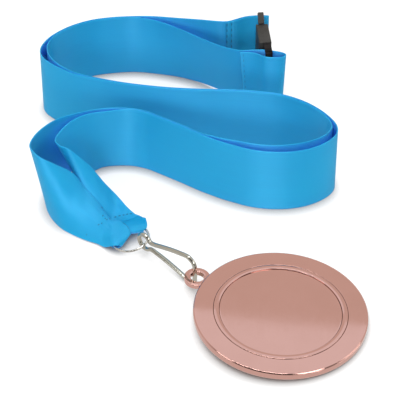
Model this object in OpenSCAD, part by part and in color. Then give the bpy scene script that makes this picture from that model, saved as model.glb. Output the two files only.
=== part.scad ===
// Sports medal on a satin neck ribbon, lying on a table.
// The ribbon is two strands that stand on edge, face to face, in a long S. At one end both are
// folded round a wire ring that carries a snap hook and the medal. At the other end each strand
// is looped through one half of a breakaway clip, which is fastened.
// The table is z = 0, and the origin is the middle of the whole piece on the table.

/* [Medal] */
// Diameter of the disc
medal_d = 50; // [49:0.5:50.5]
// Thickness at the disc's outer edge
edge_h = 2.2; // [2:0.1:2.6]
// Outer radius of the raised bead round the plain middle
bead_outer_r = 19.2; // [18.5:0.1:20]
// Width of the bead
bead_w = 1.6; // [1.2:0.1:2]
// Outer diameter of the eyelet
eyelet_d = 7.1; // [6.8:0.1:7.4]
// Diameter of the eyelet's hole
eyelet_hole_d = 4.1; // [3.9:0.1:4.3]
// Angle at which the disc leans, with its eyelet raised by the hook
medal_tilt = 3; // [2.6:0.1:3.4]

/* [Hook and ring] */
// Wire diameter of the snap hook
hook_wire = 1.3; // [1.1:0.1:1.3]
// Wire diameter of the ring
ring_wire = 1; // [0.8:0.1:1]
// Outer diameter of the ring
ring_d = 11.5; // [11.4:0.1:11.6]

/* [Ribbon] */
// Width of the ribbon
ribbon_w = 22; // [20:0.5:22]
// Thickness of the ribbon's wall
ribbon_t = 1; // [0.6:0.1:1]

/* [Clip] */
// Height of the clip, across the ribbon
clip_w = 24; // [24:0.1:25]
// Thickness of the clip's body
clip_t = 4; // [3.2:0.1:4]
// Length of the socket half's body
body_len = 10.8; // [10.4:0.1:10.9]

/* [Hidden] */

// Places on the table are measured from a point under the S, and this brings the piece's middle to
// the origin
lay = [2.1, 4.6, 0];

// Steps between two rows of a route, and how many flat stretches make the ribbon's width
route_steps = 3;
across = 2;

// Medal
medal_at = [22.9, -54.8, 0];
eyelet_way = 150;
eyelet_reach = 27.5;
eyelet_h = 1.5;
eyelet_lift = 0.5;
edge_round = 0.4;
rim_rise = 0.45;
bead_rise = 0.3;
field_drop = 0.25;
groove_w = 0.35;

// Snap hook, in an upright plane. hook_foot is below the eyelet's hole
hook_foot = [-1.5, -40, 0];
hook_way = [-0.695, 0.72, 0];
hook_sides = 10;
hook_steps = 3;
eye_at = [21.4, 3.9];
eye_r = 2.5;
eye_start = 150;
eye_stop = -120;
eye_step = 30;
// Wire's route from its tip under the eyelet to the eye: distance from the foot, height
hook_leg = [
  [2.6, 0.7],
  [1.2, 0.8],
  [0.2, 1.7],
  [0, 3.4],
  [0, 6.8],
  [0.5, 8.3],
  [1.8, 9.2],
  [3.6, 9.4],
  [9.2, 8],
  [13.8, 6.5],
  [17.6, 5.2]
];
// Springy gate from the eye to its tip: distance from the foot, height
hook_gate = [
  [18, 2.6],
  [11.5, 2.1],
  [5.4, 1.1],
  [3.6, 0.7]
];

// Ring, leaning up on its right, where the hook's eye is
ring_at = [-20.7, -21.8, 2.8];
ring_tilt = 11;
ring_way = 20;

// Route that the strands share from the clip to the ring: x, y, distance between their middles
shared_route = [
  [-22, 69.5, 1.3],
  [-29.5, 68.8, 1.3],
  [-36.5, 67, 1.3],
  [-43, 63.3, 1.3],
  [-48, 58.2, 1.4],
  [-50.2, 53.5, 1.8],
  [-50.5, 49.8, 2.3],
  [-49.6, 46.4, 2.3],
  [-47.4, 43.2, 1.9],
  [-43.6, 39.5, 1.5],
  [-38.8, 36.4, 1.4],
  [-31, 33.5, 1.3],
  [-22, 31, 1.3],
  [-11, 29, 1.3],
  [0, 28, 1.3],
  [10, 27.6, 1.3],
  [19, 26.6, 1.3],
  [26, 24.9, 1.3],
  [32, 21.6, 1.3],
  [36.5, 17.5, 1.3],
  [39.7, 13, 1.4],
  [41.1, 9, 1.8],
  [40.6, 5.8, 2.4],
  [38.8, 3.1, 2.8],
  [35.8, 0.7, 3.2],
  [31.8, -1.3, 3.5],
  [27.3, -2.4, 3.6],
  [23.2, -2.7, 3.4],
  [19, -2.4, 3.2],
  [15, -1.5, 2.9],
  [11, 0, 2.5],
  [7, 1.5, 2],
  [3.4, 3.2, 1.6],
  [0, 5, 1.3],
  [-6, 9.2, 1.3],
  [-12, 13.2, 1.3],
  [-17, 16.2, 1.3],
  [-22.4, 17.7, 1.3]
];

// Ends of each strand: x, y, z of the lower edge, then x, y, z from there to the upper edge,
// then how far the middle stands proud. Each row is one place along the strand
rise = ribbon_w;
outer_loop = [
  [8.6, 64, 1, 0, 0, rise, 0],
  [12, 64.6, 1, 0, 0, rise, 0],
  [15.5, 65.9, 1, 0, 0, rise, 0],
  [19, 66.4, 1, 0, 0, rise, 0],
  [21.6, 66.6, 1, 0, 0, rise, 0],
  [22.7, 67.7, 1, 0, 0, rise, 0],
  [21.6, 68.8, 1, 0, 0, rise, 0],
  [18.6, 68.9, 1, 0, 0, rise, 0],
  [15.2, 68.2, 1, 0, 0, rise, 0],
  [12, 66.6, 1, 0, 0, rise, 0],
  [9.3, 65.3, 1, 0, 0, rise, 0],
  [6, 65.3, 1, 0, 0, rise, 0],
  [0, 66.7, 0.7, 0, 0, rise, 0],
  [-7, 68.2, 0.3, 0, 0, rise, 0],
  [-15, 69.7, 0, 0, 0, rise, 0]
];
inner_loop = [
  [12.6, 51, 1, 0, -3.4, rise - 0.3, 0],
  [15.6, 48.8, 1, 0, -1.4, rise, 0],
  [18.4, 46.5, 1, 0, -0.2, rise, 0],
  [21, 44.6, 1, 0, 0, rise, 0],
  [23.8, 44.2, 1, 0.3, 0, rise, 0],
  [25.6, 44.6, 1, 0.7, 0, rise, 0],
  [26.3, 45.9, 1, 0.8, 0, rise, 0],
  [25.5, 47.1, 1, 0.6, 0, rise, 0],
  [23.3, 48, 1, 0.2, 0, rise, 0],
  [20.2, 48.9, 1, 0, -0.3, rise, 0],
  [17, 50.3, 1, 0, -1.6, rise - 0.1, 0],
  [13.4, 53, 0.9, 0, -4, rise - 0.4, 0],
  [9.4, 56, 0.7, 0.1, -5.3, rise - 0.6, 0],
  [5, 59.4, 0.5, 0.5, -6, rise - 0.8, 0],
  [0, 62.8, 0.3, 0.4, -5.6, rise - 0.7, 0],
  [-7, 66.2, 0.1, 0, -3.6, rise - 0.3, 0],
  [-14.5, 68.1, 0, 0, -1, rise, 0]
];
outer_end = [
  [-29.7, 18.4, 0, 0, -0.5, rise, 0],
  [-36.9, 16.5, 0, -0.2, -0.7, rise, 0],
  [-42.6, 12.6, 0, -1.7, -0.6, rise, 0],
  [-46.2, 6.6, 0.1, -3.1, -0.6, rise - 0.2, 0],
  [-47.6, 1, 0.1, -3.8, -1, rise - 0.4, 0],
  [-47, -4.6, 0.1, -3.1, 0.8, rise - 0.4, 0],
  [-44.7, -10, 0.1, -2.9, 3.6, rise - 0.9, 0],
  [-41.4, -14.3, 0.2, -1.6, 7, rise - 3.1, 0.3],
  [-37.4, -17.6, 0.4, -1.6, 11.6, rise - 7.2, 0.6],
  [-33.6, -19.6, 0.5, -2.2, 12.8, 10, 0.8],
  [-31, -20.6, 0.6, -1.8, 12.4, 7.6, 0.8],
  [-28.9, -22.4, 0.8, -1.1, 12.8, 4.8, 0.6],
  [-27.7, -23.4, 1.5, 0.3, 11.3, 3.2, 0.4],
  [-26.6, -24.4, 2.7, 2, 9.3, 1.9, 0.1],
  [-25.3, -24.9, 3.1, 2.9, 6.4, 1.4, 0],
  [-23.8, -24, 1.9, 2.7, 4.7, 1.2, 0],
  [-25.4, -23.8, 0.6, 3, 5.7, 0.7, 0],
  [-26.7, -22.5, 0.5, 2.3, 4.8, 0.2, 0]
];
inner_end = [
  [-29.4, 17, 0, 0, -0.7, rise, 0],
  [-32.8, 15.2, 0, -2, -0.4, rise, 0],
  [-35, 12.2, 0.1, -4.4, -0.6, rise - 0.4, 0],
  [-35.9, 8.6, 0.1, -6.8, -1.8, rise - 1, 0],
  [-35.8, 4.8, 0.2, -7.8, -1.6, rise - 1.4, 0],
  [-35, 0.8, 0.3, -7.4, -0.2, rise - 1.6, 0],
  [-34, -4.2, 0.3, -5.7, 3.6, rise - 1.8, 0.2],
  [-33.2, -9.4, 0.3, -3.6, 8.8, rise - 4.7, 0.5],
  [-31.3, -12.6, 0.5, -2, 11.4, 12.8, 0.4],
  [-28.8, -14.6, 0.6, -0.6, 11, 8, -0.3],
  [-26.6, -15.8, 0.8, 2, 9.3, 3.7, -0.3],
  [-25, -16, 1.6, 4.8, 4.3, 2.2, 0],
  [-23.4, -16.2, 3.5, 7, 0.6, 1.5, 0],
  [-21.8, -17.2, 4.4, 5.5, -1.3, 0.9, 0],
  [-20.8, -18.4, 3.9, 3.9, -0.8, 0.9, 0],
  [-20.6, -18.9, 2.8, 3, -0.6, 0.9, 0],
  [-21.1, -18.2, 1.8, 3.8, -1, 0.9, 0],
  [-21.9, -16.9, 1.5, 4.8, -1.4, 0.9, 0],
  [-21.6, -15, 1.1, 4.6, -0.8, 0.9, 0],
  [-22.4, -12.9, 0.8, 4.2, 0.4, 0.9, 0]
];

// Clip, upright between the two loops
clip_at = [19.8, 68.2, 0];
clip_turn = 4.8;
plug_side = 0.5;
bar_t = 1;
socket_frame_t = 1.7;
plug_frame_t = 2.3;
socket_slot = 5;
plug_slot = 3.8;
rail_h = 0.8;
crossbar = 1.2;
parting = 0.2;
prong_len = 7;
prong_t = 1.3;
prong_w = 13;
pocket_gap = 0.25;
clip_bevel = 0.4;

ribbon_blue = [0.17, 0.6, 0.86];
bronze = [0.78, 0.6, 0.54];
nickel = [0.78, 0.77, 0.72];
black_plastic = [0.14, 0.14, 0.15];

// Smooth curve through rows of numbers
function between(a, b, c, d, t) =
  0.5 * (2 * b + (c - a) * t + (2 * a - 5 * b + 4 * c - d) * t * t
    + (3 * b - a - 3 * c + d) * t * t * t);
function row(rows, i) = rows[min(max(i, 0), len(rows) - 1)];
function smooth(rows, steps) = concat(
  [for (i = [0 : len(rows) - 2], k = [0 : steps - 1])
    between(row(rows, i - 1), rows[i], rows[i + 1], row(rows, i + 2), k / steps)],
  [rows[len(rows) - 1]]);
function unit(v) = v / norm(v);
function along(points, i) = row(points, i + 1) - row(points, i - 1);

// Strand's edges along the shared route, side 1 for the outer strand and -1 for the inner one
function right_of(route, i) = unit([along(route, i)[1], -along(route, i)[0]]);
function shared_part(side) = [
  for (i = [0 : len(shared_route) - 1])
    let (out = side * right_of(shared_route, i) * shared_route[i][2] / 2)
      [shared_route[i][0] + out[0], shared_route[i][1] + out[1], 0, 0, 0, rise, 0]];

function lower(r) = [r[0], r[1], r[2]];
function reach(r) = [r[3], r[4], r[5]];
function edge_point(r, part) = lower(r) + reach(r) * part;
function on_table(p) = [p[0], p[1], max(p[2], 0)];

// Direction square to the ribbon's face at one place across its width
function face_way(rows, i, part) =
  unit(cross(edge_point(row(rows, i + 1), part) - edge_point(row(rows, i - 1), part), reach(rows[i])));
function wall_point(rows, i, part, side) = on_table(
  edge_point(rows[i], part)
    + face_way(rows, i, part) * (side * ribbon_t / 2 + 4 * part * (1 - part) * rows[i][6]));
function wall_ring(rows, i) = concat(
  [for (k = [0 : across]) wall_point(rows, i, k / across, -1)],
  [for (k = [across : -1 : 0]) wall_point(rows, i, k / across, 1)]);

// Closed solid through equal rings with an even number of points
module skin(rings) {
  n = len(rings[0]);
  last = len(rings) - 1;
  sides = [
    for (i = [0 : last - 1], k = [0 : n - 1], half = [0, 1])
      let (a = i * n + k, b = i * n + (k + 1) % n)
        half == 0 ? [a, a + n, b] : [b, a + n, b + n]];
  start = [
    for (k = [0 : n / 2 - 2], half = [0, 1])
      half == 0 ? [k, k + 1, n - 1 - k] : [k + 1, n - 2 - k, n - 1 - k]];
  end = [for (face = start) [face[2], face[1], face[0]] + [last, last, last] * n];
  polyhedron(points = [for (ring = rings, point = ring) point], faces = concat(sides, start, end));
}

module strand(rows) {
  path = smooth(rows, route_steps);
  color(ribbon_blue)
    translate(lay)
      skin([for (i = [0 : len(path) - 1]) wall_ring(path, i)]);
}

module outer_strand() {
  strand(concat(outer_loop, shared_part(1), outer_end));
}

module inner_strand() {
  strand(concat(inner_loop, shared_part(-1), inner_end));
}

// Half section of the disc, from its middle out
module disc_section() {
  r = medal_d / 2;
  bead_inner_r = bead_outer_r - bead_w;
  bead_top = edge_h + rim_rise + bead_rise;
  field_h = edge_h + rim_rise - field_drop;
  difference() {
    union() {
      square([bead_inner_r, field_h]);
      polygon([
        [0, 0],
        [r - edge_round, 0],
        [r - edge_round, edge_round],
        [r, edge_round],
        [r, edge_h - edge_round / 2],
        [r - edge_round / 2, edge_h],
        [bead_outer_r, edge_h + rim_rise],
        [bead_inner_r, edge_h + rim_rise],
        [bead_inner_r, 0]
      ]);
      translate([r - edge_round, edge_round])
        circle(edge_round, $fn = 48);
      translate([(bead_outer_r + bead_inner_r) / 2, bead_top - bead_w / 2])
        circle(bead_w / 2, $fn = 48);
    }
    translate([bead_outer_r, edge_h + rim_rise])
      circle(groove_w / 2, $fn = 24);
    translate([bead_inner_r, edge_h + rim_rise])
      circle(groove_w / 2, $fn = 24);
  }
}

module medal() {
  corner_r = medal_d / 2 - edge_round;
  floor_gap = corner_r * sin(medal_tilt) + edge_round * (1 - cos(medal_tilt));
  color(bronze)
    translate(lay + medal_at + [0, 0, floor_gap])
      rotate([0, 0, eyelet_way])
        rotate([0, -medal_tilt, 0])
          difference() {
            union() {
              rotate_extrude($fn = 180)
                disc_section();
              translate([eyelet_reach, 0, eyelet_lift])
                cylinder(d = eyelet_d, h = eyelet_h, $fn = 64);
            }
            translate([eyelet_reach, 0, -1])
              cylinder(d = eyelet_hole_d, h = edge_h + 2, $fn = 64);
          }
}

function hook_point(p) = hook_foot + hook_way * p[0] + [0, 0, p[1]];
function eye_point(a) = eye_at + eye_r * [cos(a), sin(a)];

module snap_hook() {
  eye = [for (a = [eye_start : -eye_step : eye_stop]) eye_point(a)];
  path = smooth(concat(hook_leg, eye, hook_gate), hook_steps);
  side_way = cross(hook_way, [0, 0, 1]);
  rings = [
    for (i = [0 : len(path) - 1])
      let (way = unit(along(path, i)), out = way[1] * hook_way - [0, 0, way[0]])
        [for (k = [0 : hook_sides - 1])
          let (a = 360 * k / hook_sides)
            hook_point(path[i]) + hook_wire / 2 * (cos(a) * side_way + sin(a) * out)]];
  color(nickel)
    translate(lay)
      skin(rings);
}

module ring() {
  color(nickel)
    translate(lay + ring_at)
      rotate([0, -ring_tilt, ring_way])
        rotate_extrude($fn = 96)
          translate([(ring_d - ring_wire) / 2, 0])
            circle(d = ring_wire, $fn = 32);
}

// Upright block of the clip: start and end along the clip, thickness, height from low to high
module slab(start, end, thick, low, high) {
  translate([-thick / 2, -end, low])
    cube([thick, end - start, high - low]);
}

// Same block over the clip's full height, with its four long edges bevelled
module bevelled_slab(start, end) {
  t = clip_t / 2;
  c = clip_bevel;
  translate([0, -start, 0])
    rotate([90, 0, 0])
      linear_extrude(end - start)
        polygon([
          [c - t, 0], [t - c, 0], [t, c], [t, clip_w - c],
          [t - c, clip_w], [c - t, clip_w], [-t, clip_w - c], [-t, c]
        ]);
}

// Bar and two rails that one loop of ribbon hangs in
module loop_frame(thick, slot) {
  slab(0, bar_t, thick, 0, clip_w);
  slab(0, bar_t + slot, thick, 0, rail_h);
  slab(0, bar_t + slot, thick, clip_w - rail_h, clip_w);
}

module place_clip() {
  color(black_plastic)
    translate(lay + clip_at)
      rotate([0, 0, clip_turn])
        children();
}

module clip_socket() {
  shoulder = bar_t + socket_slot;
  mouth = shoulder + body_len;
  pocket_w = prong_w + 2 * pocket_gap;
  place_clip() {
    loop_frame(socket_frame_t, socket_slot);
    difference() {
      bevelled_slab(shoulder, mouth);
      slab(mouth - prong_len - pocket_gap, mouth + 1, prong_t + 2 * pocket_gap,
        (clip_w - pocket_w) / 2, (clip_w + pocket_w) / 2);
    }
  }
}

module clip_plug() {
  face = bar_t + socket_slot + body_len + parting;
  back = face + crossbar;
  place_clip() {
    translate([plug_side, -back - plug_slot - bar_t, 0])
      mirror([0, 1, 0])
        loop_frame(plug_frame_t, plug_slot);
    translate([plug_side, 0, 0])
      slab(face, back, plug_frame_t, 0, clip_w);
    slab(face - prong_len, face, prong_t, (clip_w - prong_w) / 2, (clip_w + prong_w) / 2);
  }
}

medal();
snap_hook();
ring();
outer_strand();
inner_strand();
clip_socket();
clip_plug();
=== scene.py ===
"""Looks of the sports medal: satin neck ribbon in two strands, breakaway clip, ring, snap hook, medal.

Shapes are in millimetres on the table, as in part.scad, and each mesh is scaled to metres.
Materials, lamps and the camera are in metres.
"""
import math

import bpy
import numpy as np
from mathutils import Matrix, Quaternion, Vector


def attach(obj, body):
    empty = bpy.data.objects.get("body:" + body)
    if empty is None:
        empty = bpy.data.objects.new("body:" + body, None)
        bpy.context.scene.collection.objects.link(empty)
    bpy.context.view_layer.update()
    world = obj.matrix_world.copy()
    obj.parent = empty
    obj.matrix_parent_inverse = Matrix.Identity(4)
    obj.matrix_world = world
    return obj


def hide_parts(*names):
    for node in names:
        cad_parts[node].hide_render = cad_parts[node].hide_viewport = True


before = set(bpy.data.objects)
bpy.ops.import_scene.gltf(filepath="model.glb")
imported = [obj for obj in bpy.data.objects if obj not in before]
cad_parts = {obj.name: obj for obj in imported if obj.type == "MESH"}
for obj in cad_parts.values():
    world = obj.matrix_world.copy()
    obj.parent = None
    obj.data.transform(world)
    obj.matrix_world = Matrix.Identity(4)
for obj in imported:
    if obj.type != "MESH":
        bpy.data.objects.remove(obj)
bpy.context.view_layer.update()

MM = 0.001
# From the point under the S that places are measured from, to the origin
LAY = np.array([2.1, 4.6, 0.0])
RIBBON_W = 22.0
RIBBON_T = 0.32
# Reach upwards of a ribbon that stands on its edge
RISE = RIBBON_W

# Places along the strands follow edges read off the photo and projected to the table, and rounded.
# The shared route is that of part.scad. The ends follow the ends there, with rows moved or added
# where thin cloth lies closer and folds more sharply.

# Route that the strands share: x, y, distance between their middles in the solids
SHARED_ROUTE = [
    (-22, 69.5, 1.3), (-29.5, 68.8, 1.3), (-36.5, 67, 1.3), (-43, 63.3, 1.3), (-48, 58.2, 1.4),
    (-50.2, 53.5, 1.8), (-50.5, 49.8, 2.3), (-49.6, 46.4, 2.3), (-47.4, 43.2, 1.9),
    (-43.6, 39.5, 1.5), (-38.8, 36.4, 1.4), (-31, 33.5, 1.3), (-22, 31, 1.3), (-11, 29, 1.3),
    (0, 28, 1.3), (10, 27.6, 1.3), (19, 26.6, 1.3), (26, 24.9, 1.3), (32, 21.6, 1.3),
    (36.5, 17.5, 1.3), (39.7, 13, 1.4), (41.1, 9, 1.8), (40.6, 5.8, 2.4), (38.8, 3.1, 2.8),
    (35.8, 0.7, 3.2), (31.8, -1.3, 3.5), (27.3, -2.4, 3.6), (23.2, -2.7, 3.4), (19, -2.4, 3.2),
    (15, -1.5, 2.9), (11, 0, 2.5), (7, 1.5, 2), (3.4, 3.2, 1.6), (0, 5, 1.3), (-6, 9.2, 1.3),
    (-12, 13.2, 1.3), (-17, 16.2, 1.3), (-22.4, 17.7, 1.3),
]
# Ends of the strands: x, y, z of the lower edge, then x, y, z from there to the upper edge, then
# how far the middle stands proud
OUTER_LOOP = [
    (8.6, 64.66, 1, 0, 0, RISE, 0), (10.2, 64.92, 1.1, 0, 0, RISE, 0),
    (12.4, 65.46, 1.4, 0, 0, RISE, 0), (15.5, 66.6, 1.7, 0, 0, RISE, 0),
    (19, 67.2, 1.8, 0, 0, RISE, 0), (21.8, 67.3, 1.7, 0, 0, RISE, 0),
    (22.7, 67.95, 1.4, 0, 0, RISE, 0), (21.8, 68.6, 1.1, 0, 0, RISE, 0),
    (18.6, 68.7, 1, 0, 0, RISE, 0), (15.2, 68.1, 1, 0, 0, RISE, 0),
    (12, 66.6, 1, 0, 0, RISE, 0), (9.3, 65.3, 1, 0, 0, RISE, 0), (6, 65.3, 1, 0, 0, RISE, 0),
    (0, 66.7, 0.7, 0, 0, RISE, 0), (-7, 68.2, 0.3, 0, 0, RISE, 0), (-15, 69.7, 0, 0, 0, RISE, 0),
]
INNER_LOOP = [
    (14.9, 49.2, 1, -2, -1.7, RISE - 0.3, 0), (16.6, 47.9, 1, -0.7, -0.7, RISE, 0),
    (18.4, 46.5, 1, 0, -0.2, RISE, 0), (21, 44.6, 1, 0, 0, RISE, 0),
    (24, 44.2, 1, 0.3, 0, RISE, 0), (26, 44.6, 1, 0.7, 0, RISE, 0),
    (26.8, 45.9, 1, 0.8, 0, RISE, 0), (25.8, 47.1, 1, 0.6, 0, RISE, 0),
    (23.3, 48, 1, 0.2, 0, RISE, 0), (20.2, 48.9, 1, 0, -0.3, RISE, 0),
    (17, 50.3, 1, 0, -1.6, RISE - 0.1, 0), (13.4, 53, 0.9, 0, -4, RISE - 0.4, 0),
    (9.4, 56, 0.7, 0.1, -5.3, RISE - 0.6, 0), (5, 59.4, 0.5, 0.5, -6, RISE - 0.8, 0),
    (0, 62.8, 0.3, 0.4, -5.6, RISE - 0.7, 0), (-7, 66.2, 0.1, 0, -3.6, RISE - 0.3, 0),
    (-14.5, 68.1, 0, 0, -1, RISE, 0),
]
OUTER_END = [
    (-29.7, 18.4, 0, 0, -0.5, RISE, 0), (-36.9, 16.5, 0, -0.2, -0.7, RISE, 0),
    (-42.6, 12.6, 0, -1.7, -0.6, RISE, 0), (-46.2, 6.6, 0.1, -3.1, -0.6, RISE - 0.2, 0),
    (-47.6, 1, 0.1, -3.8, -1, RISE - 0.4, 0), (-47, -4.6, 0.1, -3.1, 0.8, RISE - 0.4, 0),
    (-44.7, -10, 0.1, -2.9, 3.9, RISE - 1, 0), (-41.5, -14.4, 0.2, -2, 8.2, RISE - 3.5, 0.5),
    (-37.5, -17.7, 0.4, -1.1, 12.7, RISE - 7.9, 0.9), (-33.8, -19.9, 0.4, -1.7, 13.9, 10.05, 1),
    (-31, -21.3, 0.5, -1.8, 13.4, 7.45, 0.9), (-28.9, -22.9, 0.6, -1.1, 13.15, 5.1, 0.7),
    (-27.7, -23.9, 1.4, -0.3, 11.7, 3.1, 0.5), (-26.5, -24.7, 2.4, 0, 10.4, 1.6, 0.3),
    (-25.3, -25, 2.9, 1.2, 9.8, 1.1, 0.1), (-24.1, -24.9, 2.8, 2, 7.4, 1.3, 0),
    (-23.3, -24.2, 2, 2.5, 4.5, 1.1, 0), (-25.2, -23.8, 0.7, 3.1, 5.5, 0.8, 0),
    (-26.7, -22.5, 0.5, 2.3, 4.8, 0.2, 0),
]
INNER_END = [
    (-29.4, 17, 0, 0, -0.7, RISE, 0), (-32.8, 15.2, 0, -2.2, -0.4, RISE, 0),
    (-35, 12.2, 0.1, -4.6, -0.6, RISE - 0.4, 0), (-35.9, 8.6, 0.1, -7.1, -2, RISE - 1, 0),
    (-35.8, 4.8, 0.2, -8.2, -1.8, RISE - 1.4, 0), (-35.4, 0.5, 0.3, -7, -0.1, RISE - 1.5, 0),
    (-35.3, -4.6, 0.3, -4.4, 3.6, RISE - 1.7, 0.2), (-34, -9.8, 0.3, -2.7, 8.6, RISE - 4.4, 0.5),
    (-31.1, -12.9, 0.5, -1.9, 11.7, 13, 0.7), (-28.8, -14.8, 0.6, -0.4, 12.4, 8, 0.4),
    (-26.8, -15.6, 0.8, 1.4, 11.7, 4, 0), (-25.7, -15.3, 1.2, 3.5, 7.2, 2.5, 0),
    (-25.3, -14.8, 1.8, 5.4, 3.9, 1.6, 0), (-25.2, -14.7, 2, 5.9, 3.3, 1.5, 0),
    (-25.1, -14.7, 2.2, 6.5, 2.9, 1.3, 0), (-25, -14.8, 2.8, 7.9, 1.3, 1.2, 0),
    (-24.9, -14.9, 3, 8.4, 1, 1.2, 0), (-24.6, -15.3, 3.1, 8.2, 0.7, 1.2, 0),
    (-23.3, -17.2, 3.3, 7.3, 0.2, 1.4, 0), (-21.2, -18.8, 3.3, 5.1, 0, 1.2, 0),
    (-20.3, -19.1, 2.8, 3.3, -0.2, 1, 0), (-21, -18.2, 1.8, 3.9, -0.7, 1, 0),
    (-21.9, -16.9, 1.5, 4.8, -1.4, 0.9, 0), (-21.6, -15, 1.1, 4.6, -0.8, 0.9, 0),
    (-22.4, -12.9, 0.8, 4.2, 0.4, 0.9, 0),
]


# Helpers for shapes

def between(a, b, c, d, t):
    """Point on the smooth curve from b (t = 0) to c (t = 1), with a before them and d after."""
    return 0.5 * (2 * b + (c - a) * t + (2 * a - 5 * b + 4 * c - d) * t * t
                  + (3 * b - a - 3 * c + d) * t * t * t)


def smooth(rows, steps_of):
    """Smooth curve through rows. steps_of(a, b) gives the number of steps between two rows."""
    rows = np.array(rows, float)
    last = len(rows) - 1
    out = []
    for i in range(last):
        b, c = rows[i], rows[i + 1]
        a, d = rows[max(i - 1, 0)], rows[min(i + 2, last)]
        n = steps_of(b, c)
        out += [between(a, b, c, d, k / n) for k in range(n)]
    out.append(rows[last])
    return np.array(out)


def unit(v):
    """Vectors of length 1."""
    return v / np.maximum(np.linalg.norm(v, axis=-1, keepdims=True), 1e-12)


def run_along(points):
    """Distance of each point along their line, from 0 at the first."""
    return np.concatenate([[0], np.cumsum(np.linalg.norm(np.diff(points, axis=0), axis=1))])


def full_turn(steps):
    """Angles of a whole turn, the last one step short of the first."""
    return np.linspace(0, 2 * math.pi, steps, endpoint=False)


def turned(x, y, angle):
    """Coordinates x and y turned by the angle, from x towards y."""
    return x * math.cos(angle) - y * math.sin(angle), x * math.sin(angle) + y * math.cos(angle)


def tilted_and_turned(points, tilt, way):
    """Points lifted on their +X side by tilt, then turned so that this side points along way."""
    x, y, z = points[..., 0], points[..., 1], points[..., 2]
    x, z = turned(x, z, tilt)
    x, y = turned(x, y, way)
    return np.stack([x, y, z], -1)


def arc(x, z, r, start, stop, steps):
    """Points round the middle (x, z), from start to stop in degrees."""
    turns = [math.radians(start + (stop - start) * k / steps) for k in range(steps + 1)]
    return [(x + r * math.cos(t), z + r * math.sin(t)) for t in turns]


def skin_faces(rings, n, closed=False):
    """Quads between equal rings of n points."""
    faces = []
    for i in range(rings if closed else rings - 1):
        a0, b0 = i * n, ((i + 1) % rings) * n
        for k in range(n):
            k1 = (k + 1) % n
            faces.append((a0 + k, a0 + k1, b0 + k1, b0 + k))
    return faces


def end_faces(rings, n):
    """One face on the first and one on the last of the rings."""
    return [tuple(range(n))[::-1], tuple((rings - 1) * n + k for k in range(n))]


def mesh_piece(name, points, faces, uv=None):
    """Object from points in millimetres on the table, and faces. uv is one pair of metres a point."""
    mesh = bpy.data.meshes.new(name)
    mesh.from_pydata([tuple((p + LAY) * MM) for p in points], [], [tuple(f) for f in faces])
    if uv is not None:
        layer = mesh.uv_layers.new(name="UVMap")
        index = np.zeros(len(mesh.loops), int)
        mesh.loops.foreach_get("vertex_index", index)
        layer.data.foreach_set("uv", np.asarray(uv, float)[index].ravel())
    mesh.validate()
    mesh.update()
    mesh.polygons.foreach_set("use_smooth", [True] * len(mesh.polygons))
    piece = bpy.data.objects.new(name, mesh)
    bpy.context.scene.collection.objects.link(piece)
    return piece


# Ribbon

STATION_STEP = 0.45
# Stations across the width, as shares of it, closer together near both edges
NEAR_EDGE = [0, 0.012, 0.03, 0.06]
MIDDLE_STEPS = 20
INSET = NEAR_EDGE[-1]
ACROSS = np.array(NEAR_EDGE
                  + [INSET + (1 - 2 * INSET) * k / MIDDLE_STEPS for k in range(1, MIDDLE_STEPS)]
                  + [1 - v for v in reversed(NEAR_EDGE)])
# The middles of strands that touch are 1.3 mm apart in the solids and 0.62 mm here. From 2.3 mm up
# they stay
THIN_CLOSER = 0.68
STAYS_FROM = 2.3
LOWEST_MIDDLE = 0.05
LOWEST_FACE = 0.01
# How far the rounded edge stands out, and the share of the width that it has in the weave
EDGE_OUT = 0.4 * RIBBON_T
EDGE_SHARE = 0.01


def close_up(distance):
    """Thin cloth lies closer than the solids."""
    return distance - THIN_CLOSER * min(max(STAYS_FROM - distance, 0), 1)


def shared_part(side):
    """Rows of one strand along the shared route, side 1 for the outer strand and -1 for the inner."""
    route = np.array(SHARED_ROUTE, float)
    rows = []
    for i, (x, y, apart) in enumerate(SHARED_ROUTE):
        ahead = route[min(i + 1, len(route) - 1)] - route[max(i - 1, 0)]
        right = unit(np.array([ahead[1], -ahead[0]]))
        shift = side * right * close_up(apart) / 2
        rows.append((x + shift[0], y + shift[1], 0, 0, 0, RISE, 0))
    return rows


def face_normals(mid):
    """Directions square to a grid of points."""
    return unit(np.cross(np.gradient(mid, axis=0), np.gradient(mid, axis=1)))


def strand_grid(rows):
    """Middle surface, its normals, and the arc length and row number of each station."""
    def steps(a, b):
        low = np.linalg.norm(b[:3] - a[:3])
        high = np.linalg.norm(b[:3] + b[3:6] - a[:3] - a[3:6])
        return max(2, math.ceil(max(low, high) / STATION_STEP))

    path = smooth([(*row, i) for i, row in enumerate(rows)], steps)
    low, reach, bow, row_at = path[:, :3], path[:, 3:6], path[:, 6], path[:, 7]
    v = ACROSS[None, :, None]
    flat = low[:, None] + reach[:, None] * v
    along = np.gradient(flat, axis=0)
    way = unit(np.cross(along, np.broadcast_to(reach[:, None], along.shape)))
    mid = flat + way * (4 * v * (1 - v)) * bow[:, None, None]
    mid[:, :, 2] = np.maximum(mid[:, :, 2], LOWEST_MIDDLE)
    centre = mid[:, len(ACROSS) // 2]
    return {"mid": mid, "normal": face_normals(mid), "run": run_along(centre), "row": row_at}


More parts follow.
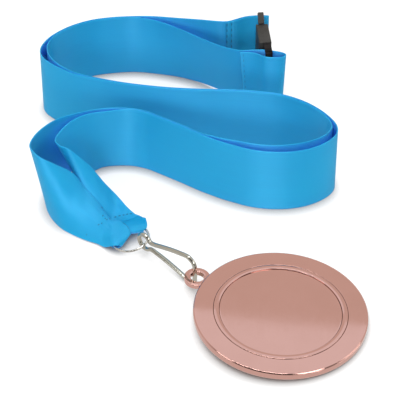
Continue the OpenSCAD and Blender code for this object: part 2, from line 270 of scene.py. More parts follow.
def ribbon(name, rows, relief):
    """Closed thin sheet with rounded edges, and the grid of its middle surface.

    relief(run, row, v) lifts the surface along its normal.
    """
    grid = strand_grid(rows)
    run, row_at = grid["run"], grid["row"]
    lift = relief(run[:, None], row_at[:, None], ACROSS[None, :])
    mid = grid["mid"] + grid["normal"] * lift[:, :, None]
    normal = face_normals(mid)
    upper_way = unit(mid[:, -1] - mid[:, -2])
    lower_way = unit(mid[:, 0] - mid[:, 1])
    rings = np.concatenate([
        mid + normal * RIBBON_T / 2,
        (mid[:, -1] + upper_way * EDGE_OUT)[:, None],
        (mid - normal * RIBBON_T / 2)[:, ::-1],
        (mid[:, 0] + lower_way * EDGE_OUT)[:, None],
    ], axis=1)
    rings[:, :, 2] = np.maximum(rings[:, :, 2], LOWEST_FACE)

    n, m, count = len(run), len(ACROSS), rings.shape[1]
    uv = np.zeros((n, count, 2))
    uv[:, :, 0] = run[:, None] * MM
    uv[:, :, 1] = np.concatenate([ACROSS, [1 + EDGE_SHARE], ACROSS[::-1], [-EDGE_SHARE]]) * RIBBON_W * MM

    first_end = [(k, k + 1, 2 * m - k - 1, 2 * m - k) for k in range(m - 1)]
    first_end += [(0, 2 * m, 2 * m + 1), (m - 1, m, m + 1)]
    last_end = [tuple((n - 1) * count + i for i in reversed(face)) for face in first_end]
    faces = skin_faces(n, count) + first_end + last_end
    grid.update(mid=mid, normal=normal)
    return mesh_piece(name, rings.reshape(-1, 3), faces, uv.reshape(-1, 2)), grid


outer_rows = OUTER_LOOP + shared_part(1) + OUTER_END
inner_rows = INNER_LOOP + shared_part(-1) + INNER_END
outer_start = len(outer_rows) - len(OUTER_END)
inner_start = len(inner_rows) - len(INNER_END)

STITCH_PITCH = 2.2
# Seams of the sewn loops: distance from the ribbon's raw edge
OUTER_SEAMS = [0.35, 1.9]
INNER_SEAMS = [0.8]
GROOVE_DEPTH = 0.1
GROOVE_HALF_WIDTH = 0.35
# Share of a groove's depth that only its needle holes have
HOLE_SHARE = 0.25
# Soft round dents: row of the end's table, share of the width, half length in rows, half width as
# a share, height in mm
OUTER_DENTS = [(12.2, 0.64, 0.6, 0.07, -0.16), (11.4, 0.5, 0.8, 0.09, 0.12), (13.2, 0.4, 0.5, 0.08, -0.1),
               (10.2, 0.72, 1.0, 0.08, 0.12), (9.2, 0.35, 1.2, 0.1, -0.1), (14.2, 0.7, 0.4, 0.1, 0.08)]
INNER_DENTS = [(10.2, 0.75, 0.4, 0.08, -0.14), (9.4, 0.62, 0.8, 0.1, 0.12), (9.9, 0.9, 0.4, 0.06, 0.08)]
# The outer strand's upper edge sinks where it meets the inner one: depth, row of the end's table, and
# the share of the width that it starts from
DROOP = 0.7
DROOP_ROW = 12.2
DROOP_FROM = 0.8


def dents(table, row, v):
    """Sum of a table's dents at the row and share of the width."""
    return sum(height * np.exp(-((row - at) / long) ** 2 - ((v - across) / wide) ** 2)
               for at, across, long, wide, height in table)


def sewn_line(run, v, at):
    """Shallow groove across the ribbon, deeper at each needle hole."""
    holes = 1 - HOLE_SHARE + HOLE_SHARE * np.cos(v * RIBBON_W / STITCH_PITCH * 2 * math.pi)
    return -GROOVE_DEPTH * holes * np.exp(-((run - at) / GROOVE_HALF_WIDTH) ** 2)


def outer_relief(run, row, v):
    end = row - outer_start
    droop = np.clip((v - DROOP_FROM) / (1 - DROOP_FROM), 0, 1) ** 2 * np.exp(-(end - DROOP_ROW) ** 2)
    return -DROOP * droop + sum(sewn_line(run, v, at) for at in OUTER_SEAMS) + dents(OUTER_DENTS, end, v)


def inner_relief(run, row, v):
    end = row - inner_start
    return sum(sewn_line(run, v, at) for at in INNER_SEAMS) + dents(INNER_DENTS, end, v)


outer_ribbon, outer_grid = ribbon("outer_ribbon", outer_rows, outer_relief)
inner_ribbon, inner_grid = ribbon("inner_ribbon", inner_rows, inner_relief)


# Threads: the loops' seams, pulled threads at the V where the strands are sewn together, and a dark line
# along the outer flap's edge that is a painted shadow

THREAD_SIDES = 8
# How far a thread's two ends are from a half turn's ends, so that they keep some thickness
THREAD_TAPER = 0.12
# A direction that no thread runs along
THREAD_SIDE_WAY = np.array([0.3, 0.5, 0.8])
STITCH_STEPS = 6
# Depth of a stitch's ends under the ribbon's face
STITCH_DIP = 0.08
# Start and end of each stitch, as shares of the pitch
STITCH_START, STITCH_STOP = 0.2, 0.8
OUTER_SEAM_R = 0.1
INNER_SEAM_R = 0.05
PULLED_R = 0.13
# Pulled threads: stations (row of the end's table, share of the width)
OUTER_PULLED = [[(10.35, 0.40), (10.55, 0.45)], [(10.80, 0.49), (11.0, 0.54)], [(11.0, 0.70), (11.2, 0.78)],
                [(11.45, 0.72), (11.7, 0.78)], [(11.8, 0.74), (12.0, 0.82)], [(10.9, 0.93), (11.2, 0.97)],
                [(12.3, 0.9), (12.6, 0.94)], [(8.98, 0.09), (9.02, 0.115)]]
INNER_PULLED = [[(10.1, 0.38), (10.35, 0.44)], [(10.55, 0.49), (10.85, 0.57)], [(11.0, 0.62), (11.2, 0.68)],
                [(11.35, 0.74), (11.5, 0.81)], [(11.6, 0.84), (11.8, 0.92)]]
# Painted shadow: a dark line along the flap's edge, half sunk, where the flap lies over the inner strand
FLAP_SHADE_LINE = [(13.8, 1.0), (14.3, 1.0), (14.8, 1.0), (15.3, 1.0), (15.8, 1.0)]
FLAP_SHADE_LINE_R = 0.12
FLAP_SHADE_LINE_SUNK = 0.1


def on_strand(grid, row, v, lift):
    """Point on a strand's visible face, lifted along its normal."""
    i = np.interp(row, grid["row"], np.arange(len(grid["row"])))
    j = np.interp(v, ACROSS, np.arange(len(ACROSS)))
    i0, j0 = min(int(i), len(grid["row"]) - 2), min(int(j), len(ACROSS) - 2)
    fi, fj = i - i0, j - j0

    def blended(g):
        return ((1 - fi) * ((1 - fj) * g[i0, j0] + fj * g[i0, j0 + 1])
                + fi * ((1 - fj) * g[i0 + 1, j0] + fj * g[i0 + 1, j0 + 1]))

    return blended(grid["mid"]) + unit(blended(grid["normal"])) * (RIBBON_T / 2 + lift)


def stitch_line(grid, start, stations, radius, lift=0.0):
    """Path and radius of one thread through the stations. Their rows are counted from row start."""
    stops = smooth(stations, lambda a, b: STITCH_STEPS)
    dip = np.sin(np.linspace(0, math.pi, len(stops))) ** 0.4
    path = [on_strand(grid, start + row, v, lift * d - STITCH_DIP * (1 - d))
            for (row, v), d in zip(stops, dip)]
    return path, radius


def loop_stitches(grid, seams, radius):
    """Rows of stitches across the ribbon, at the given distances from its raw edge."""
    lines = []
    for at in seams:
        row = float(np.interp(at, grid["run"], grid["row"]))
        for k in range(int(RIBBON_W / STITCH_PITCH)):
            ends = [(row, (k + part) * STITCH_PITCH / RIBBON_W) for part in (STITCH_START, STITCH_STOP)]
            lines.append(stitch_line(grid, 0, ends, radius))
    return lines


def threads(name, lines):
    """One piece of many threads. Each line is a path of points and a radius."""
    points, faces = [], []
    around = full_turn(THREAD_SIDES)
    for path, radius in lines:
        path = np.array(path)
        ahead = unit(np.gradient(path, axis=0))
        side = unit(np.cross(ahead, THREAD_SIDE_WAY))
        up = np.cross(side, ahead)
        taper = np.sin(np.linspace(THREAD_TAPER, math.pi - THREAD_TAPER, len(path))) ** 0.5
        base = len(points)
        for p, s, u, t in zip(path, side, up, taper):
            points += [p + radius * t * (s * math.cos(q) + u * math.sin(q)) for q in around]
        thread_faces = skin_faces(len(path), THREAD_SIDES) + end_faces(len(path), THREAD_SIDES)
        faces += [tuple(base + i for i in face) for face in thread_faces]
    return mesh_piece(name, points, faces)


outer_lines = loop_stitches(outer_grid, OUTER_SEAMS, OUTER_SEAM_R)
outer_lines += [stitch_line(outer_grid, outer_start, line, PULLED_R) for line in OUTER_PULLED]
# Painted shadow line along the flap's edge
outer_lines.append(stitch_line(outer_grid, outer_start, FLAP_SHADE_LINE, FLAP_SHADE_LINE_R, -FLAP_SHADE_LINE_SUNK))
inner_lines = loop_stitches(inner_grid, INNER_SEAMS, INNER_SEAM_R)
inner_lines += [stitch_line(inner_grid, inner_start, line, PULLED_R) for line in INNER_PULLED]
outer_threads_and_shade_line = threads("outer_stitches_and_shade_line", outer_lines)
inner_threads = threads("inner_stitches", inner_lines)


# Snap hook, in an upright plane

HOOK_FOOT = np.array([-1.5, -40.0, 0.0])
HOOK_WAY = np.array([-0.695, 0.72, 0.0])
EYE_AT = np.array([21.4, 3.9])
EYE_R = 2.5
# Wire's route from its tip under the eyelet to the eye: distance from the foot, height
HOOK_LEG = [(2.6, 0.7), (1.2, 0.8), (0.2, 1.7), (0, 3.4), (0, 6.8), (0.5, 8.3), (1.8, 9.2),
            (3.6, 9.4), (9.2, 8), (13.8, 6.5), (17.6, 5.2)]
# Springy gate from the eye to its tip
HOOK_GATE = [(18, 2.6), (11.5, 2.1), (5.4, 1.1), (3.6, 0.7)]
HOOK_STEP = 0.3
HOOK_WIRE = 1.3
# The gate is the wire's last part, rolled flatter
GATE_LENGTH = 15.0
GATE_BLEND = 2.5
GATE_WIDER = 0.2
GATE_THINNER = 0.45
WIRE_SIDES = 20
# Below 1, a wire's section is a little squarer than a circle
WIRE_ROUNDNESS = 0.85


def tube(name, path, wide, thick, side_way):
    """Swept wire. wide is its size along side_way, thick its size square to that, a value a point."""
    ahead = unit(np.gradient(path, axis=0))
    out = unit(np.cross(np.broadcast_to(side_way, path.shape), ahead))
    around = full_turn(WIRE_SIDES)
    c, s = (np.sign(x) * abs(x) ** WIRE_ROUNDNESS for x in (np.cos(around), np.sin(around)))
    rings = (path[:, None] + side_way * (c[None, :, None] * wide[:, None, None] / 2)
             + out[:, None] * (s[None, :, None] * thick[:, None, None] / 2))
    faces = skin_faces(len(path), WIRE_SIDES) + end_faces(len(path), WIRE_SIDES)
    return mesh_piece(name, rings.reshape(-1, 3), faces)


def snap_hook():
    turns = [math.radians(a) for a in range(150, -121, -30)]
    eye = [tuple(EYE_AT + EYE_R * np.array([math.cos(t), math.sin(t)])) for t in turns]
    route = smooth(HOOK_LEG + eye + HOOK_GATE,
                   lambda a, b: max(3, math.ceil(np.linalg.norm(b - a) / HOOK_STEP)))
    path = np.array([HOOK_FOOT + HOOK_WAY * away + np.array([0, 0, height]) for away, height in route])
    run = run_along(path)
    flat = np.clip((run - run[-1] + GATE_LENGTH) / GATE_BLEND, 0, 1)
    flat = flat * flat * (3 - 2 * flat)
    side_way = np.array([HOOK_WAY[1], -HOOK_WAY[0], 0.0])
    return tube("hook_wire", path, HOOK_WIRE + GATE_WIDER * flat, HOOK_WIRE - GATE_THINNER * flat, side_way)


hook_piece = snap_hook()


# Ring, leaning up on its right, where the hook's eye is

RING_AT = np.array([-20.7, -21.8, 2.8])
RING_TILT = math.radians(11)
RING_WAY = math.radians(20)
RING_D = 11.5
RING_WIRE = 0.7
RING_STEPS = 120
RING_SIDES = 24


def wire_ring():
    turn, around = full_turn(RING_STEPS), full_turn(RING_SIDES)
    radial = (RING_D - RING_WIRE) / 2 + RING_WIRE / 2 * np.cos(around)
    height = np.broadcast_to(RING_WIRE / 2 * np.sin(around), (RING_STEPS, RING_SIDES))
    points = np.stack([np.cos(turn)[:, None] * radial, np.sin(turn)[:, None] * radial, height], -1)
    points = tilted_and_turned(points, RING_TILT, RING_WAY) + RING_AT
    return mesh_piece("ring_wire", points.reshape(-1, 3), skin_faces(RING_STEPS, RING_SIDES, True))


ring_piece = wire_ring()


# Medal: disc and eyelet, leaning up on the eyelet's side

MEDAL_AT = np.array([22.9, -54.8, 0.0])
MEDAL_TILT = math.radians(3)
EYELET_WAY = math.radians(150)
EYELET_REACH = 27.5
MEDAL_STEPS = 288
EYELET_STEPS = 96
# Where the leaning disc of part.scad rests: radius, and the rounding of its lower edge
FOOT_R = 24.6
FOOT_ROUND = 0.4
# Heights of the plain middle, and of the rim at the bead and at the edge
FIELD_H = 2.4
RIM_IN_H, RIM_OUT_H = 2.6, 2.5
# Radius of the rim at the bead, and its width
RIM_IN_R, RIM_W = 19.3, 5.1


def medal_profile():
    """Half section (r, z) of the disc, from the back's middle round the edge to the face's middle."""
    back = [(0, 0), (8, 0), (16, 0), (23, 0)]
    lower_edge = arc(24.2, 0.8, 0.8, -90, 0, 8)
    upper_edge = (arc(24.72, 2.1, 0.28, 0, 22, 3) + arc(24.46, 1.99, 0.5, 25, 62, 8)
                  + arc(24.62, 2.27, 0.2, 66, 88, 3) + [(24.5, 2.475)])
    rim = [(r, RIM_OUT_H + (RIM_IN_H - RIM_OUT_H) * (RIM_IN_R + RIM_W - r) / RIM_W)
           for r in (24.2, 23, 21.5, 20, 19.5)]
    outer_groove = arc(19.37, 2.54, 0.06, 86, 180, 5) + [(19.3, 2.42), (19.25, 2.4), (19.2, 2.42)]
    bead = (arc(19.12, 2.57, 0.07, 0, 82, 5) + [(18.8, 2.66), (18.4, 2.672), (18.0, 2.66)]
            + arc(17.7, 2.56, 0.07, 98, 180, 5))
    inner_groove = [(17.61, 2.3), (17.56, 2.27), (17.51, 2.3)] + arc(17.45, 2.34, 0.06, 0, 90, 5)
    field = [(r, FIELD_H) for r in (17.1, 15, 10, 5, 0)]
    return back + lower_edge + upper_edge + rim + outer_groove + bead + inner_groove + field


def eyelet_profile():
    """Closed section (r, z) of the eyelet, with rounded corners."""
    hole_r, outer_r, low, high, c = 2.05, 3.8, 0.5, 2.0, 0.15
    return (arc(outer_r - c, low + c, c, -90, 0, 5) + arc(outer_r - c, high - c, c, 0, 90, 5)
            + arc(hole_r + c, high - c, c, 90, 180, 5) + arc(hole_r + c, low + c, c, 180, 270, 5))


def revolve(profile, turns):
    """Points and faces of a profile (r, z) that starts and ends on the axis."""
    points = [(0.0, 0.0, profile[0][1])]
    inner = profile[1:-1]
    for k in range(turns):
        c, s = math.cos(2 * math.pi * k / turns), math.sin(2 * math.pi * k / turns)
        points += [(r * c, r * s, z) for r, z in inner]
    points.append((0.0, 0.0, profile[-1][1]))
    n = len(inner)
    faces = []
    for k in range(turns):
        a0, b0 = 1 + k * n, 1 + ((k + 1) % turns) * n
        faces.append((0, b0, a0))
        faces += [(a0 + j, b0 + j, b0 + j + 1, a0 + j + 1) for j in range(n - 1)]
        faces.append((a0 + n - 1, b0 + n - 1, len(points) - 1))
    return points, faces


def medal():
    points, faces = revolve(medal_profile(), MEDAL_STEPS)
    section = eyelet_profile()
    shift = len(points)
    points += [(EYELET_REACH + r * math.cos(t), r * math.sin(t), z)
               for t in full_turn(EYELET_STEPS) for r, z in section]
    faces += [tuple(shift + i for i in face) for face in skin_faces(EYELET_STEPS, len(section), True)]
    lift = FOOT_R * math.sin(MEDAL_TILT) + FOOT_ROUND * (1 - math.cos(MEDAL_TILT))
    points = tilted_and_turned(np.array(points), MEDAL_TILT, EYELET_WAY)
    return mesh_piece("medal_body", points + MEDAL_AT + np.array([0, 0, lift]), faces)


medal_piece = medal()


# Clip, upright between the two loops

CLIP_AT = np.array([19.8, 68.2, 0.0])
CLIP_TURN = math.radians(4.8)
CLIP_W = 24
RAIL = 0.8
BEVEL_STEPS = 3
# Upright blocks: middle x, start and end along the clip, thickness, low, high, sideways slant
SOCKET_BAR = (0.2, -0.25, 0.6, 2, 0, 24.5, 0)
SOCKET_LOW_RAIL = (0, -0.1, 6.4, 2, 0, RAIL, -0.5)
SOCKET_HIGH_RAIL = (0, -0.1, 6.4, 2, CLIP_W, 24.7, -0.5)
SOCKET_BODY = (0, 6, 16.8, 4, 0, CLIP_W, 0)
PLUG_BODY = (0.5, 17, 18.2, 2.3, 0, CLIP_W, 0)
PLUG_LOW_RAIL = (0.5, 18, 22.8, 2.3, 0, RAIL, 0)
PLUG_HIGH_RAIL = (0.5, 18, 22.8, 2.3, CLIP_W - RAIL, CLIP_W, 0)
PLUG_BAR = (0.5, 22, 23, 2.3, 0, CLIP_W, 0)
PLUG_PRONG = (0, 16.85, 17.2, 1.3, 5.5, 18.5, 0)
SOCKET_BEVEL = 0.28
PLUG_BEVEL = 0.2
# Faces of a block, whose points go by start and end, then by side, then by low and high
BLOCK_FACES = ((0, 1, 3, 2), (4, 6, 7, 5), (0, 4, 5, 1), (2, 3, 7, 6), (0, 2, 6, 4), (1, 5, 7, 3))


def clip_piece(name, blocks, bevel):
    """Blocks with rounded edges, as one piece."""
    points, faces = [], []
    for x, start, end, thick, low, high, slant in blocks:
        base = len(points)
        points += [(x + side * thick / 2 + skew, -y, z)
                   for y, skew in ((start, -slant / 2), (end, slant / 2))
                   for side in (-1, 1) for z in (low, high)]
        faces += [tuple(base + i for i in face) for face in BLOCK_FACES]
    points = tilted_and_turned(np.array(points), 0, CLIP_TURN) + CLIP_AT
    piece = mesh_piece(name, points, faces)
    edge = piece.modifiers.new("edge", "BEVEL")
    edge.width = bevel * MM
    edge.segments = BEVEL_STEPS
    edge.limit_method = "ANGLE"
    return piece


socket_piece = clip_piece("clip_socket_shell",
                          [SOCKET_BAR, SOCKET_LOW_RAIL, SOCKET_HIGH_RAIL, SOCKET_BODY], SOCKET_BEVEL)
plug_piece = clip_piece("clip_plug_shell",
                        [PLUG_BODY, PLUG_LOW_RAIL, PLUG_HIGH_RAIL, PLUG_BAR, PLUG_PRONG], PLUG_BEVEL)


# Helpers for nodes

# Sockets of a mix node that mixes colours
MIX_FACTOR, MIX_A, MIX_B, MIX_RESULT = 0, 6, 7, 2
OCCLUSION_SAMPLES = 12


class Nodes:
    """Short way to build the nodes of a material or of the world."""

    def __init__(self, owner):
        owner.use_nodes = True
        self.tree = owner.node_tree

    def add(self, kind, **values):
        node = self.tree.nodes.new(kind)
        for key, value in values.items():
            setattr(node, key, value)
        return node

    def feed(self, socket, value):
        """Link an output to the socket, or set the socket to a constant."""
        if isinstance(value, bpy.types.NodeSocket):
            self.tree.links.new(value, socket)
        elif isinstance(value, (tuple, list)) and socket.type == "RGBA":
            socket.default_value = (*value, 1)
        else:
            socket.default_value = value

    def split(self, vector):
        """Outputs x, y and z of a vector."""
        node = self.add("ShaderNodeSeparateXYZ")
        self.feed(node.inputs[0], vector)
        return node.outputs[0], node.outputs[1], node.outputs[2]

    def math(self, operation, *values):
        node = self.add("ShaderNodeMath", operation=operation)
        for socket, value in zip(node.inputs, values):
            self.feed(socket, value)
        return node.outputs[0]

    def noise(self, vector, scale, detail=2.0, rough=0.5):
        node = self.add("ShaderNodeTexNoise")
        for key, x in (("Vector", vector), ("Scale", scale), ("Detail", detail), ("Roughness", rough)):
            self.feed(node.inputs[key], x)
        return node.outputs["Fac"]

    def span(self, value, low, high, out_low, out_high):
        """Value from low to high, brought to the range from out_low to out_high and kept in it."""
        node = self.add("ShaderNodeMapRange", clamp=True)
        for key, x in (("Value", value), ("From Min", low), ("From Max", high),
                       ("To Min", out_low), ("To Max", out_high)):
            self.feed(node.inputs[key], x)
        return node.outputs["Result"]

    def mix(self, factor, a, b):
        node = self.add("ShaderNodeMix", data_type="RGBA")
        for key, x in ((MIX_FACTOR, factor), (MIX_A, a), (MIX_B, b)):
            self.feed(node.inputs[key], x)
        return node.outputs[MIX_RESULT]

    def scaled(self, vector, scale):
        node = self.add("ShaderNodeMapping")
        self.feed(node.inputs["Vector"], vector)
        node.inputs["Scale"].default_value = scale
        return node.outputs[0]

    def openness(self, distance, only_local=False, normal=None):
        """1 in the open, down to 0 where other surfaces within the distance hide the sky."""
        node = self.add("ShaderNodeAmbientOcclusion", samples=OCCLUSION_SAMPLES, only_local=only_local)
        node.inputs["Distance"].default_value = distance
        if normal is not None:
            self.feed(node.inputs["Normal"], normal)
        return node.outputs["AO"]


class Material(Nodes):
    """New material with its one shader."""

    def __init__(self, name):
        self.data = bpy.data.materials.new(name)
        super().__init__(self.data)
        self.shader = next(n for n in self.tree.nodes if n.type == "BSDF_PRINCIPLED")
        self.place = self.add("ShaderNodeTexCoord").outputs["Object"]

    def bump(self, height, distance, strength, normal=None):
        node = self.add("ShaderNodeBump")
        for key, x in (("Height", height), ("Distance", distance), ("Strength", strength)):
            self.feed(node.inputs[key], x)
        if normal is not None:
            self.feed(node.inputs["Normal"], normal)
        return node.outputs[0]

    def put(self, **values):
        """Feed the shader's sockets. A space in a socket's name is written as _."""
        for key, value in values.items():
            self.feed(self.shader.inputs[key.replace("_", " ")], value)


# Satin ribbon. Its threads run along it, and u and v are metres along it and across it

THREAD_PITCH = 0.00018
FLOAT_LENGTH = 0.0009
RIB_PITCH = 0.00045
SELVAGE_FROM, SELVAGE_TO = 0.0005, 0.0008
RAW_EDGE_FROM, RAW_EDGE_TO = 0.00012, 0.0003
STREAKS = (60, 2600, 1)
SATIN_DARK, SATIN_LIGHT = (0.006, 0.31, 0.60), (0.009, 0.36, 0.66)
# Painted highlight along both edges of the ribbon
SELVAGE_HIGHLIGHT_COLOUR = (0.012, 0.38, 0.70)
# Painted highlight along the raw edge at the sewn loops
RAW_EDGE_HIGHLIGHT_COLOUR = (0.08, 0.55, 0.9)
# Painted bounce light for the narrow gap between the strands
GAP_PAINTED_BOUNCE = (0.05, 0.39, 0.89)
GAP_DEPTH = 0.010


def satin_weave(m, uv):
    """Height of the threads, between which each float of the weave dives."""
    weave = m.add("ShaderNodeTexBrick", offset=0.4)
    for key, x in (("Scale", 1), ("Mortar Size", 0.04), ("Mortar Smooth", 1), ("Brick Width", 1),
                   ("Row Height", 1), ("Vector", m.scaled(uv, (1 / FLOAT_LENGTH, 1 / THREAD_PITCH, 1)))):
        m.feed(weave.inputs[key], x)
    across = m.split(uv)[1]
    ridges = m.math("ABSOLUTE", m.math("SINE", m.math("MULTIPLY", across, math.pi / THREAD_PITCH)))
    return m.math("SUBTRACT", ridges, m.math("MULTIPLY", weave.outputs["Fac"], 0.5))


def ribbon_material():
    m = Material("satin_ribbon")
    uv = m.add("ShaderNodeUVMap", uv_map="UVMap").outputs[0]
    along, across, _ = m.split(uv)

    # The selvage at each edge has cross ribs, and its colour is made a little lighter, a painted highlight
    # along the edges
    from_edge = m.math("MINIMUM", across, m.math("SUBTRACT", RIBBON_W * MM, across))
    selvage = m.span(from_edge, SELVAGE_FROM, SELVAGE_TO, 1.0, 0.0)
    ribs = m.math("SINE", m.math("MULTIPLY", along, 2 * math.pi / RIB_PITCH))
    height = m.math("ADD", satin_weave(m, uv), m.math("MULTIPLY", m.math("MULTIPLY", ribs, selvage), 0.6))

    streaks = m.noise(m.scaled(uv, STREAKS), 1.0, 3.0, 0.6)
    cloud = m.noise(m.place, 45.0)
    shade = m.math("ADD", m.math("MULTIPLY", streaks, 0.55), m.math("MULTIPLY", cloud, 0.45))
    colour = m.mix(m.span(shade, 0.3, 0.7, 0.0, 1.0), SATIN_DARK, SATIN_LIGHT)
    colour = m.mix(m.math("MULTIPLY", selvage, 0.3), colour, SELVAGE_HIGHLIGHT_COLOUR)
    # Painted highlight: the heat-cut raw edge at the sewn loops is painted as a fine lighter line
    colour = m.mix(m.span(along, RAW_EDGE_FROM, RAW_EDGE_TO, 0.25, 0.0), colour, RAW_EDGE_HIGHLIGHT_COLOUR)
    # Painted bounce light: in the narrow gap between the strands the colour is mixed toward violet, as
    # where light goes from blue to blue
    colour = m.mix(m.span(m.openness(GAP_DEPTH), 0.2, 0.6, 1.0, 0.0), colour, GAP_PAINTED_BOUNCE)

    weave_bump = m.bump(height, 0.00002, 0.5)
    tangent = m.add("ShaderNodeTangent", direction_type="UV_MAP", uv_map="UVMap").outputs[0]
    m.put(Base_Color=colour, Roughness=m.span(streaks, 0.3, 0.7, 0.50, 0.56),
          Normal=m.bump(m.noise(m.place, 140.0), 0.00012, 0.35, weave_bump),
          Metallic=0.15, Anisotropic=0.9, Anisotropic_Rotation=0.25, Tangent=tangent,
          Specular_IOR_Level=0.8, Specular_Tint=(0.5, 0.8, 1),
          Subsurface_Weight=0.35, Subsurface_Radius=(0.6, 0.8, 1), Subsurface_Scale=0.0006,
          Sheen_Weight=0.05, Sheen_Roughness=0.4, Sheen_Tint=(0.2, 0.7, 1))
    return m.data


# Sewing thread, also used for the painted shadow line along the flap's edge

THREAD_DARK, THREAD_LIGHT = (0.002, 0.06, 0.16), (0.003, 0.09, 0.22)
THREAD_TWIST = (9000, 9000, 3000)


def thread_material():
    m = Material("sewing_thread_and_shade_line")
    twist = m.noise(m.scaled(m.place, THREAD_TWIST), 1.0)
    m.put(Base_Color=m.mix(twist, THREAD_DARK, THREAD_LIGHT), Roughness=0.6,
          Normal=m.bump(twist, 0.00003, 0.6))
    return m.data


# Metals: rose bronze on the medal, nickel on the hook and ring

BRUSHED = (900, 140, 500)
# Painted shade for narrow grooves, and how far round the occlusion looks
GROOVE_SHADE = (0.10, 0.03, 0.022)
GROOVE_SHADE_REACH = 0.0004


def metal_material(name, dark, light, rough, scratch, dent, groove_shade=None):
    """Plated metal with fine scratches and shallow dents of the given depths in metres."""
    m = Material(name)
    cloud = m.noise(m.place, 90.0, 3.0)
    fine = m.noise(m.scaled(m.place, BRUSHED), 1.0, 4.0, 0.6)
    wear = m.noise(m.place, 600.0, 3.0, 0.6)
    colour = m.mix(m.span(cloud, 0.35, 0.65, 0.0, 1.0), dark, light)
    if groove_shade:
        # Painted shade: narrow grooves are made darker, as shade falls in them
        grooves = m.span(m.openness(GROOVE_SHADE_REACH, only_local=True), 0.35, 0.75, 1.0, 0.0)
        colour = m.mix(grooves, colour, groove_shade)
    roughness = m.math("ADD", m.span(fine, 0.3, 0.7, rough * 0.8, rough * 1.25),
                       m.span(wear, 0.55, 0.8, 0.0, rough * 0.4))
    m.put(Base_Color=colour, Metallic=1.0, Roughness=roughness,
          Normal=m.bump(fine, scratch, 0.4, m.bump(cloud, dent, 0.5)))
    return m.data


# Plastic of the clip

def plastic_material(name, dark, light, level, grain_depth):
    """Moulded plastic with a fine grain. level is the shader's specular level."""
    m = Material(name)
    grain = m.noise(m.place, 3200.0, 3.0, 0.6)
    cloud = m.noise(m.place, 300.0)
    m.put(Base_Color=m.mix(m.span(cloud, 0.35, 0.7, 0.0, 1.0), dark, light),
          Roughness=m.span(grain, 0.3, 0.7, 0.42, 0.58),
          Normal=m.bump(grain, grain_depth, 0.5), Specular_IOR_Level=level)
    return m.data


# Floor. It glows evenly, as over a light table, and is darker in front of what stands close to it

FLOOR_DARK, FLOOR_LIGHT = (0.29, 0.29, 0.29), (0.31, 0.31, 0.31)
FLOOR_GLOW = 0.77
FLOOR_REACH = 0.006
# Nearness is measured round an axis that leans back, so the shade falls to the front of things, as
# with light from behind
FLOOR_LEAN = math.radians(20)


def floor_material():
    m = Material("pale_floor")
    lean = m.add("ShaderNodeCombineXYZ")
    lean.inputs["Y"].default_value = math.sin(FLOOR_LEAN)
    lean.inputs["Z"].default_value = math.cos(FLOOR_LEAN)
    open_part = m.span(m.openness(FLOOR_REACH, normal=lean.outputs[0]), 0.24, 0.78, 0.0, 1.0)
    m.put(Base_Color=m.mix(m.noise(m.place, 4.0), FLOOR_DARK, FLOOR_LIGHT), Roughness=0.6,
          Emission_Color=m.mix(open_part, (0, 0, 0), (1, 1, 1)), Emission_Strength=FLOOR_GLOW,
          Specular_IOR_Level=0.0)
    return m.data


# Pieces: materials, and what each stands for

satin = ribbon_material()
thread = thread_material()
# The medal's grooves get painted shade
bronze = metal_material("rose_bronze", (0.68, 0.395, 0.345), (0.70, 0.41, 0.36), 0.05, 0.000001, 0.000006,
                        GROOVE_SHADE)
nickel = metal_material("bright_nickel", (0.44, 0.435, 0.38), (0.52, 0.51, 0.45), 0.14, 0.000008, 0.00003)
ring_nickel = metal_material("dull_nickel", (0.58, 0.57, 0.53), (0.66, 0.65, 0.61), 0.26, 0.000004, 0.00001)
shell_plastic = plastic_material("clip_shell_plastic", (0.024, 0.023, 0.020), (0.038, 0.037, 0.034), 0.3,
                                 0.00005)
plug_plastic = plastic_material("clip_plug_plastic", (0.002, 0.002, 0.003), (0.022, 0.018, 0.018), 0.12,
                                0.0001)

for piece, material, node, slot_name in (
    (outer_ribbon, satin, "outer_strand", "ribbon"),
    (inner_ribbon, satin, "inner_strand", "ribbon"),
    (outer_threads_and_shade_line, thread, "outer_strand", "ribbon"),
    (inner_threads, thread, "inner_strand", "ribbon"),
    (hook_piece, nickel, "snap_hook", "nickel"),
    (ring_piece, ring_nickel, "ring", "nickel"),
    (medal_piece, bronze, "medal", "bronze"),
    (socket_piece, shell_plastic, "clip_socket", "black_plastic"),
    (plug_piece, plug_plastic, "clip_plug", "black_plastic"),
):
    piece.data.materials.append(material)
    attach(piece, "root")
    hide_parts(node)


# Floor

FLOOR_HALF = 4.0
FLOOR_Z = -0.00003
floor_corners = [(x * FLOOR_HALF, y * FLOOR_HALF, FLOOR_Z) for x, y in ((-1, -1), (1, -1), (1, 1), (-1, 1))]
floor_mesh = bpy.data.meshes.new("floor")
floor_mesh.from_pydata(floor_corners, [], [(0, 1, 2, 3)])
floor = bpy.data.objects.new("floor", floor_mesh)
bpy.context.scene.collection.objects.link(floor)
floor.data.materials.append(floor_material())
# The metal reflects the even low part of the studio in its place
floor.visible_glossy = False


# Lamps. One of power P over an area A has radiance P / (4 A). Most strengths come from a fit to the
# photo's colours, rounded or then lowered

LAMP_AWAY = 1.2
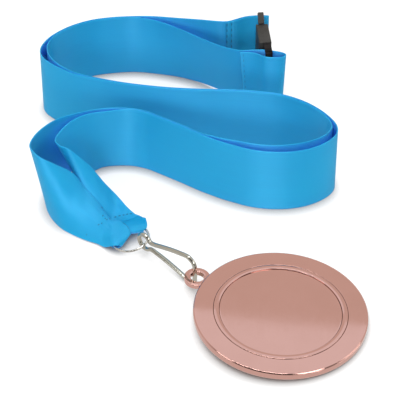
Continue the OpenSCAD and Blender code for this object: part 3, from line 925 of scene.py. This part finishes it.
# Name, azimuth from the camera's side to the right, elevation, size, radiance
ROOM_LAMP = ("right_side", 95, 35, (0.5, 0.5), 1.4)
METAL_LAMPS = [
    ("metal_top", 180, 80, (0.4, 0.3), 11.0),
    ("metal_right", 42, 42, (0.5, 0.45), 5.0),
    ("metal_left", -66, 36, (0.4, 0.4), 2.4),
]
CLOTH_LAMPS = [
    ("front_low", -5, 20, (0.45, 0.35), 6.5),
    ("front_high", -5, 55, (0.5, 0.4), 8.0),
    ("left_middle", -30, 25, (0.4, 0.3), 3.8),
    ("left_high", -90, 70, (0.6, 0.6), 1.5),
    ("back_high", 180, 60, (0.8, 0.4), 1.5),
]
CEILING_W = 2.4
CEILING_NEAR, CEILING_FAR = 0.3, 1.125
CEILING_RADIANCE = 0.27
CEILING_COLOUR = (0.55, 0.8, 1)
CEILING_TURN = math.radians(-2.2)


def area_light(name, place, target, size, radiance, colour=(1, 1, 1)):
    data = bpy.data.lights.new(name, "AREA")
    data.shape = "RECTANGLE"
    data.size, data.size_y = size
    data.energy = 4 * size[0] * size[1] * radiance
    data.color = colour
    lamp = bpy.data.objects.new(name, data)
    lamp.location = place
    lamp.rotation_mode = "QUATERNION"
    lamp.rotation_quaternion = (Vector(target) - Vector(place)).to_track_quat("-Z", "Y")
    bpy.context.scene.collection.objects.link(lamp)
    return lamp


def softbox(name, azimuth, elevation, size, radiance):
    a, e = math.radians(azimuth), math.radians(elevation)
    way = Vector((math.sin(a) * math.cos(e), -math.cos(a) * math.cos(e), math.sin(e)))
    return area_light(name, way * LAMP_AWAY, (0, 0, 0), size, radiance)


def lit_pieces(lamp, pieces, state):
    """INCLUDE: the lamp lights these pieces alone. EXCLUDE: it lights all but these."""
    group = bpy.data.collections.new(lamp.name + "_pieces")
    for piece in pieces:
        group.objects.link(piece)
    for item in group.collection_objects:
        item.light_linking.link_state = state
    lamp.light_linking.receiver_collection = group


ceiling_y = (CEILING_NEAR + CEILING_FAR) / 2
ceiling = area_light("ceiling_panel", (0, ceiling_y, LAMP_AWAY), (0, ceiling_y, 0),
                     (CEILING_W, CEILING_FAR - CEILING_NEAR), CEILING_RADIANCE, CEILING_COLOUR)
ceiling.rotation_quaternion = Quaternion((0, 0, 1), CEILING_TURN)
softbox(*ROOM_LAMP)
metal_pieces = [medal_piece, hook_piece, ring_piece]
for state, rows in (("INCLUDE", METAL_LAMPS), ("EXCLUDE", CLOTH_LAMPS)):
    for row in rows:
        lit_pieces(softbox(*row), metal_pieces, state)


# Room around: soft warm walls, darker to the front, with a dark patch high behind the camera

BACK_WALLS = (0.75, 0.69, 0.64)
FRONT_WALLS = (0.30, 0.29, 0.28)
DARK_PATCH = (0.06, 0.06, 0.06)
BELOW = (0.8, 0.77, 0.74)


def studio_world():
    world = bpy.data.worlds.new("studio")
    bpy.context.scene.world = world
    w = Nodes(world)
    x, y, z = w.split(w.add("ShaderNodeTexCoord").outputs["Generated"])

    def soft(value, middle, half, edge):
        """1 where value is within half of the middle, falling to 0 over the edge."""
        away = w.math("ABSOLUTE", w.math("SUBTRACT", value, middle))
        return w.span(away, half, half + edge, 1.0, 0.0)

    patch = w.math("MULTIPLY", w.math("MULTIPLY", soft(x, -0.13, 0.40, 0.06), soft(z, 0.71, 0.20, 0.04)),
                   soft(y, -1.0, 0.8, 0.05))
    colour = w.mix(soft(y, -1.0, 0.75, 0.4), BACK_WALLS, FRONT_WALLS)
    colour = w.mix(patch, colour, DARK_PATCH)
    colour = w.mix(soft(z, -1.0, 1.0, 0.02), colour, BELOW)
    w.feed(w.tree.nodes["Background"].inputs["Color"], colour)


studio_world()


# Camera, as fitted to the photo

LOOK_AT = Vector((LAY[0] * MM, LAY[1] * MM, 0))
CAMERA_ABOVE = math.radians(39)
CAMERA_AWAY = 0.5575
SENSOR_MM = 36
LENS_MM = 162
CLIP_START = 0.01
camera_data = bpy.data.cameras.new("camera")
camera_data.sensor_width = SENSOR_MM
camera_data.lens = LENS_MM
camera_data.clip_start = CLIP_START
camera = bpy.data.objects.new("camera", camera_data)
camera.location = LOOK_AT + CAMERA_AWAY * Vector((0, -math.cos(CAMERA_ABOVE), math.sin(CAMERA_ABOVE)))
camera.rotation_mode = "QUATERNION"
camera.rotation_quaternion = (LOOK_AT - camera.location).to_track_quat("-Z", "Y")
bpy.context.scene.collection.objects.link(camera)
bpy.context.scene.camera = camera
bpy.context.scene.view_settings.view_transform = "Standard"
